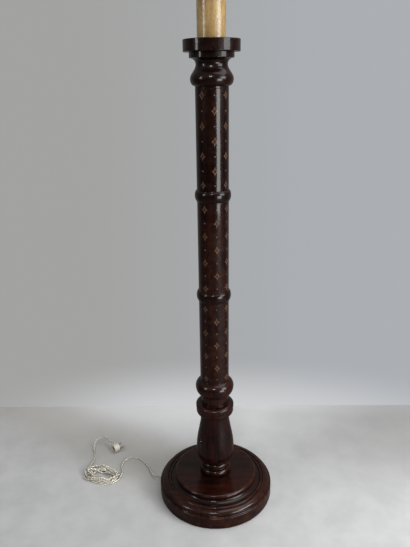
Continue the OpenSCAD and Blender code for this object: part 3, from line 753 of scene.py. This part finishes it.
def coil_point(u):
    """The hank after u turns: an oval spiral inward, then long turns laid astray across its middle."""

    def sway(size, pace, start):
        return size * math.sin(pace * u + start)

    loose = gently(min(u, COIL_TURNS - u) / JOIN_TURNS)
    late = gently(u - INWARD_TURNS)
    inset = INWARD_PITCH * min(u, INWARD_TURNS)
    long_r = LONG_FIRST - LONG_PER_SHORT * inset + sway(*LONG_SWAY)
    short_r = SHORT_FIRST - inset + sway(*SHORT_SWAY)
    long_r += late * (LONG_ASTRAY + sway(*LONG_LATE_SWAY) - long_r)
    short_r += late * (SHORT_ASTRAY + sway(*SHORT_LATE_SWAY) - short_r)
    long_r = COIL_A + loose * (long_r - COIL_A)
    short_r = SHORT_JOIN + loose * (short_r - SHORT_JOIN)
    turn = rad(np.interp(u % 1, OVAL_PARTS, OVAL_TURN))
    core = (long_r - short_r) * np.interp(u % 1, OVAL_PARTS, OVAL_CORE)
    x, y = core + short_r * math.cos(turn), -short_r * math.sin(turn)
    lean = rad(loose * (sway(*LEAN_SWAY) + late * sway(*LEAN_LATE_SWAY)))
    x, y = x * math.cos(lean) - y * math.sin(lean), x * math.sin(lean) + y * math.cos(lean)
    x += loose * (sway(*X_SWAY) + late * sway(*X_LATE_SWAY))
    y += loose * (sway(*Y_SWAY) + late * sway(*Y_LATE_SWAY))
    return vec(*COIL_POS, CORD_R) + x * coil_e1 + y * coil_e2


def travelled(points):
    """How far along its line each point lies."""
    return np.concatenate([[0], np.cumsum(lengths(np.diff(points, axis=0)))])


def points_at(points, distances):
    """The places on a line at these distances along it."""
    known = travelled(points)
    return np.stack([np.interp(distances, known, points[:, k]) for k in range(3)], -1)


def blurred(values, reach):
    """The values, each averaged with its neighbours as far as reach."""
    weight = np.hanning(2 * reach + 3)[1:-1]
    wide = np.pad(values, reach, mode="edge")
    return np.convolve(wide, weight / weight.sum(), "valid")


NEXT_TO = 8  # points nearer than this along the line don't lie on each other


def settled(points, free, clear=2 * CORD_R + 0.2, sag=1.0, reach=3, rounds=60, lifts=3):
    """Lets the free stretch of a flat line sink on itself, so that it lies over what was laid first.

    In each round it sags a little, and is then lifted clear of what is under it.
    """
    order = np.arange(len(points))
    gap = np.linalg.norm(points[:, None, :2] - points[None, :, :2], axis=2)
    under, top = np.where((gap < clear) & (order[None] - order[:, None] > NEXT_TO))
    lift = np.sqrt(clear**2 - gap[under, top] ** 2)
    least = points[:, 2].copy()
    z = least.copy()
    for _ in range(rounds):
        z = np.where(free, np.maximum(blurred(z - sag, reach), least), least)
        for _ in range(lifts):
            short = np.zeros(len(z))
            np.maximum.at(short, top, z[under] + lift - z[top])
            wide = np.max([np.roll(short, k) for k in range(-reach, reach + 1)], axis=0)
            z = z + np.where(free, blurred(wide, reach), 0)
    return np.column_stack([points[:, :2], z])


TURN_STEPS = 40
SMOOTHINGS = 12  # of the hank, which take the kinks out
LINE_STEP = 3.0  # mm
BEFORE_HANK, AFTER_HANK = 30, 70  # mm of the run and the tail that settle with it

hank_steps = int(COIL_TURNS * TURN_STEPS)
hank = np.array([coil_point(i / TURN_STEPS) for i in range(hank_steps + 1)])
for _ in range(SMOOTHINGS):
    hank[1:-1] = 0.25 * hank[:-2] + 0.5 * hank[1:-1] + 0.25 * hank[2:]
run, tail = smooth(run_route), smooth(tail_route)
line = np.concatenate([run, hank, tail])
flat_length = travelled(line)[-1]
line = points_at(line, np.linspace(0, flat_length, round(flat_length / LINE_STEP)))
hank_start = travelled(run)[-1]
hank_end = hank_start + travelled(hank)[-1]
reached = travelled(line)
line = settled(line, (reached > hank_start - BEFORE_HANK) & (reached < hank_end + AFTER_HANK))
cord_length = travelled(line)[-1]


# ------------------------------------------------------------------ the lead's pieces


def curve_piece(name, points, radius, material, fineness=4):
    """A round tube along points in millimetres."""
    data = bpy.data.curves.new(name, "CURVE")
    data.dimensions = "3D"
    data.bevel_depth = radius * MM
    data.bevel_resolution = fineness
    data.use_fill_caps = True
    spline = data.splines.new("POLY")
    spline.points.add(len(points) - 1)
    for p, co in zip(spline.points, points):
        p.co = (*(co * MM), 1)
    spline.use_smooth = True
    data.materials.append(material)
    piece = bpy.data.objects.new(name, data)
    bpy.context.scene.collection.objects.link(piece)
    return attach(piece, "lamp")


flex = curve_piece("flex", line, CORD_R, looks["clear_flex"])
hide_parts("cord_run", "cord_coil", "cord_tail")

# The pair of wires inside the clear sheath, twisted round each other
WIRE_R = 0.85  # mm
WIRE_OFF = 0.95  # mm from the lead's middle to a wire's
WIRE_LAY = 38.0  # mm of lead in one turn of the pair
WIRE_STEP = 2.5  # mm
WIRE_COLORS = (
    ((0.95, 0.93, 0.84), (0.72, 0.69, 0.58)),
    ((0.92, 0.84, 0.66), (0.62, 0.52, 0.34)),
)

distances = np.linspace(0, cord_length, int(cord_length / WIRE_STEP))
middle = points_at(line, distances)
way = unit(np.gradient(middle, axis=0))
side = unit(np.cross(way, vec(0, 0, 1)))
over = np.cross(side, way)
for k, (light, dark) in enumerate(WIRE_COLORS):
    name = f"wire_{k + 1}"
    twist = 2 * np.pi * distances / WIRE_LAY + k * np.pi
    path = middle + WIRE_OFF * (np.cos(twist)[:, None] * side + np.sin(twist)[:, None] * over)
    look = stranded_wire(name, light, dark)
    curve_piece(name, path[1:-1], WIRE_R, look, fineness=2)


# ------------------------------------------------------------------ floor

FLOOR_END = 0.46  # m behind the lamp's axis, where the wall's foot goes on in the floor's tone
FLOOR_SIDE = 4
FLOOR_FRONT = -5
FLOOR_DARK = (0.400, 0.403, 0.405)
FLOOR_LIGHT = (0.462, 0.465, 0.467)
# The floor's painted light toward the wall
FLOOR_LIT_FAR = (0.66, 0.665, 0.675)
# The floor's painted shade to the right
FLOOR_RIGHT_SHADE = (0.27, 0.268, 0.266)
# The colour of the lamp's painted shadow on the floor
FLOOR_SHADOW = (0.30, 0.28, 0.245)
FLOOR_SPECK = (0.15, 0.14, 0.12)
FLOOR_MIRRORED = (0.32, 0.30, 0.29)  # shares of its colour that glossy surfaces mirror
SHADOW_WAY = (-0.86, 0.51)  # x and y of the way that the lamp's painted shadow runs from the lamp


def pale_floor():
    """A pale mottled floor. Its places are in metres from the lamp's axis."""
    m = Material("floor_look", Roughness=0.55, Specular_IOR_Level=0.25)
    place = m.place()
    x, y, _ = m.split(place)
    mottle = m.noise(place, scale=9, detail=5, roughness=0.6)
    color = m.mix(m.fit(mottle, 0.3, 0.7), FLOOR_DARK, FLOOR_LIGHT)
    # Painted light: lighter toward the wall, and more so at its edge
    far = m.times(m.fit(y, 0.18, 0.44), m.fit(x, 0.85, -0.3, 0.0, 0.78))
    far = m.times(far, m.fit(x, -0.95, -0.45, 0.25, 1.0))
    lit_brink = m.times(m.fit(y, 0.34, 0.46, 0.0, 0.66), m.fit(x, -0.78, -0.40, 0.1, 1.0))
    color = m.mix(m.math("MAXIMUM", far, lit_brink), color, FLOOR_LIT_FAR)
    # A painted shadow of the lamp: a strip that starts at the lamp
    way_x, way_y = SHADOW_WAY
    along = m.plus(m.times(x, way_x), m.times(y, way_y))
    across = m.math("ABSOLUTE", m.minus(m.times(x, way_y), m.times(y, way_x)))
    painted_shadow = m.times(m.fit(across, 0.20, 0.03), m.fit(along, 0.02, 0.24, 0.0, 0.42))
    color = m.mix(painted_shadow, color, FLOOR_SHADOW)
    # Painted shade, darker to the right, and specks
    right = m.times(m.fit(x, 0.05, 0.75, 0.0, 0.75), m.fit(y, -0.12, 0.22))
    color = m.mix(right, color, FLOOR_RIGHT_SHADE)
    specks = m.noise(place, scale=70, detail=3, roughness=0.75)
    color = m.mix(m.fit(specks, 0.70, 0.78, 0.0, 0.35), color, FLOOR_SPECK)
    # Dimmer to the varnish than to the eye
    mirrored = m.mix(1.0, color, FLOOR_MIRRORED, "MULTIPLY")
    m.set(Base_Color=m.mix(m.node("LightPath", out="Is Glossy Ray"), color, mirrored))
    return m.mat


def lay_floor():
    corners = [
        (-FLOOR_SIDE, FLOOR_FRONT, 0),
        (FLOOR_SIDE, FLOOR_FRONT, 0),
        (FLOOR_SIDE, FLOOR_END, 0),
        (-FLOOR_SIDE, FLOOR_END, 0),
    ]
    mesh = bpy.data.meshes.new("floor")
    mesh.from_pydata(corners, [], [(0, 1, 2, 3)])
    mesh.materials.append(pale_floor())
    plane = bpy.data.objects.new("floor", mesh)
    bpy.context.scene.collection.objects.link(plane)


lay_floor()


# ------------------------------------------------------------------ wall and room

WALL_LEFT = (0.365, 0.365, 0.358)
WALL_RIGHT = (0.41, 0.43, 0.455)
WALL_FOOT = (0.615, 0.62, 0.635)
ROOM_FRONT = (0.04, 0.038, 0.036)
ROOM_BACK = (0.24, 0.24, 0.235)
ROOM_TOP = (0.30, 0.30, 0.29)


def room():
    """A pale wall for the camera; to the object, a dim room with a light wall behind it."""
    world = bpy.data.worlds.new("room")
    bpy.context.scene.world = world
    world.use_nodes = True
    m = Nodes(world.node_tree)
    x, y, z = m.split(m.node("TexCoord", out="Generated"))
    # Painted light on the wall: darker at the left, lighter and cooler at the right
    wall = m.mix(m.fit(x, -0.25, 0.25), WALL_LEFT, WALL_RIGHT)
    # Painted light at the wall's foot, behind the floor's edge, as light as the floor there
    sides = m.times(m.fit(x, -0.40, -0.08, 0.1, 1.0), m.fit(x, 0.1, 0.45, 1.0, 0.6))
    foot = m.times(m.fit(z, -0.56, -0.475, 1.0, 0.0), sides)
    wall = m.mix(foot, wall, WALL_FOOT)
    shade = m.mix(m.fit(y, -0.2, 0.7), ROOM_FRONT, ROOM_BACK)
    shade = m.mix(m.fit(z, 0.2, 0.9), shade, ROOM_TOP)
    seen = m.tree.nodes["Background"]
    m.put(seen.inputs["Color"], wall)
    is_camera = m.node("LightPath", out="Is Camera Ray")
    unseen = m.node("Background", {"Color": shade})
    light = m.node("MixShader", {0: is_camera, 1: unseen, 2: seen.outputs[0]})
    m.put(m.tree.nodes["World Output"].inputs["Surface"], light)


room()
bpy.context.scene.view_settings.view_transform = "Standard"


# ------------------------------------------------------------------ lights


def area_light(name, place, target, size, power, color=(1, 1, 1), spread=180):
    data = bpy.data.lights.new(name, "AREA")
    data.shape = "RECTANGLE"
    data.size, data.size_y = size
    data.energy = power
    data.color = color
    data.spread = rad(spread)
    light = bpy.data.objects.new(name, data)
    light.visible_camera = False
    light.location = place
    light.rotation_mode = "QUATERNION"
    light.rotation_quaternion = (Vector(target) - Vector(place)).to_track_quat("-Z", "Y")
    bpy.context.scene.collection.objects.link(light)


area_light(
    "window_high", place=(2.5, -1.3, 2.0), target=(0, 0, 0.6), size=(1.45, 1.5),
    power=60, color=(0.975, 0.985, 1.0),
)
area_light(
    "window_low", place=(1.94, -2.15, 0.75), target=(0, 0, 0.75), size=(1.2, 1.1),
    power=52, color=(1.0, 0.985, 0.975),
)
area_light("window_left", place=(-2.2, -1.25, 1.9), target=(0, 0, 0.9), size=(0.4, 1.2), power=17)
area_light("over_camera", place=(-0.2, -2.0, 2.6), target=(0, 0, 0.4), size=(0.5, 0.5), power=19)
area_light("ceiling", place=(0.9, 0.2, 3.0), target=(0, 0, 0), size=(2.2, 1.8), power=32)
area_light(
    "on_floor", place=(1.7, -0.9, 0.9), target=(1.15, -0.6, 0), size=(0.6, 0.6),
    power=5, spread=80,
)
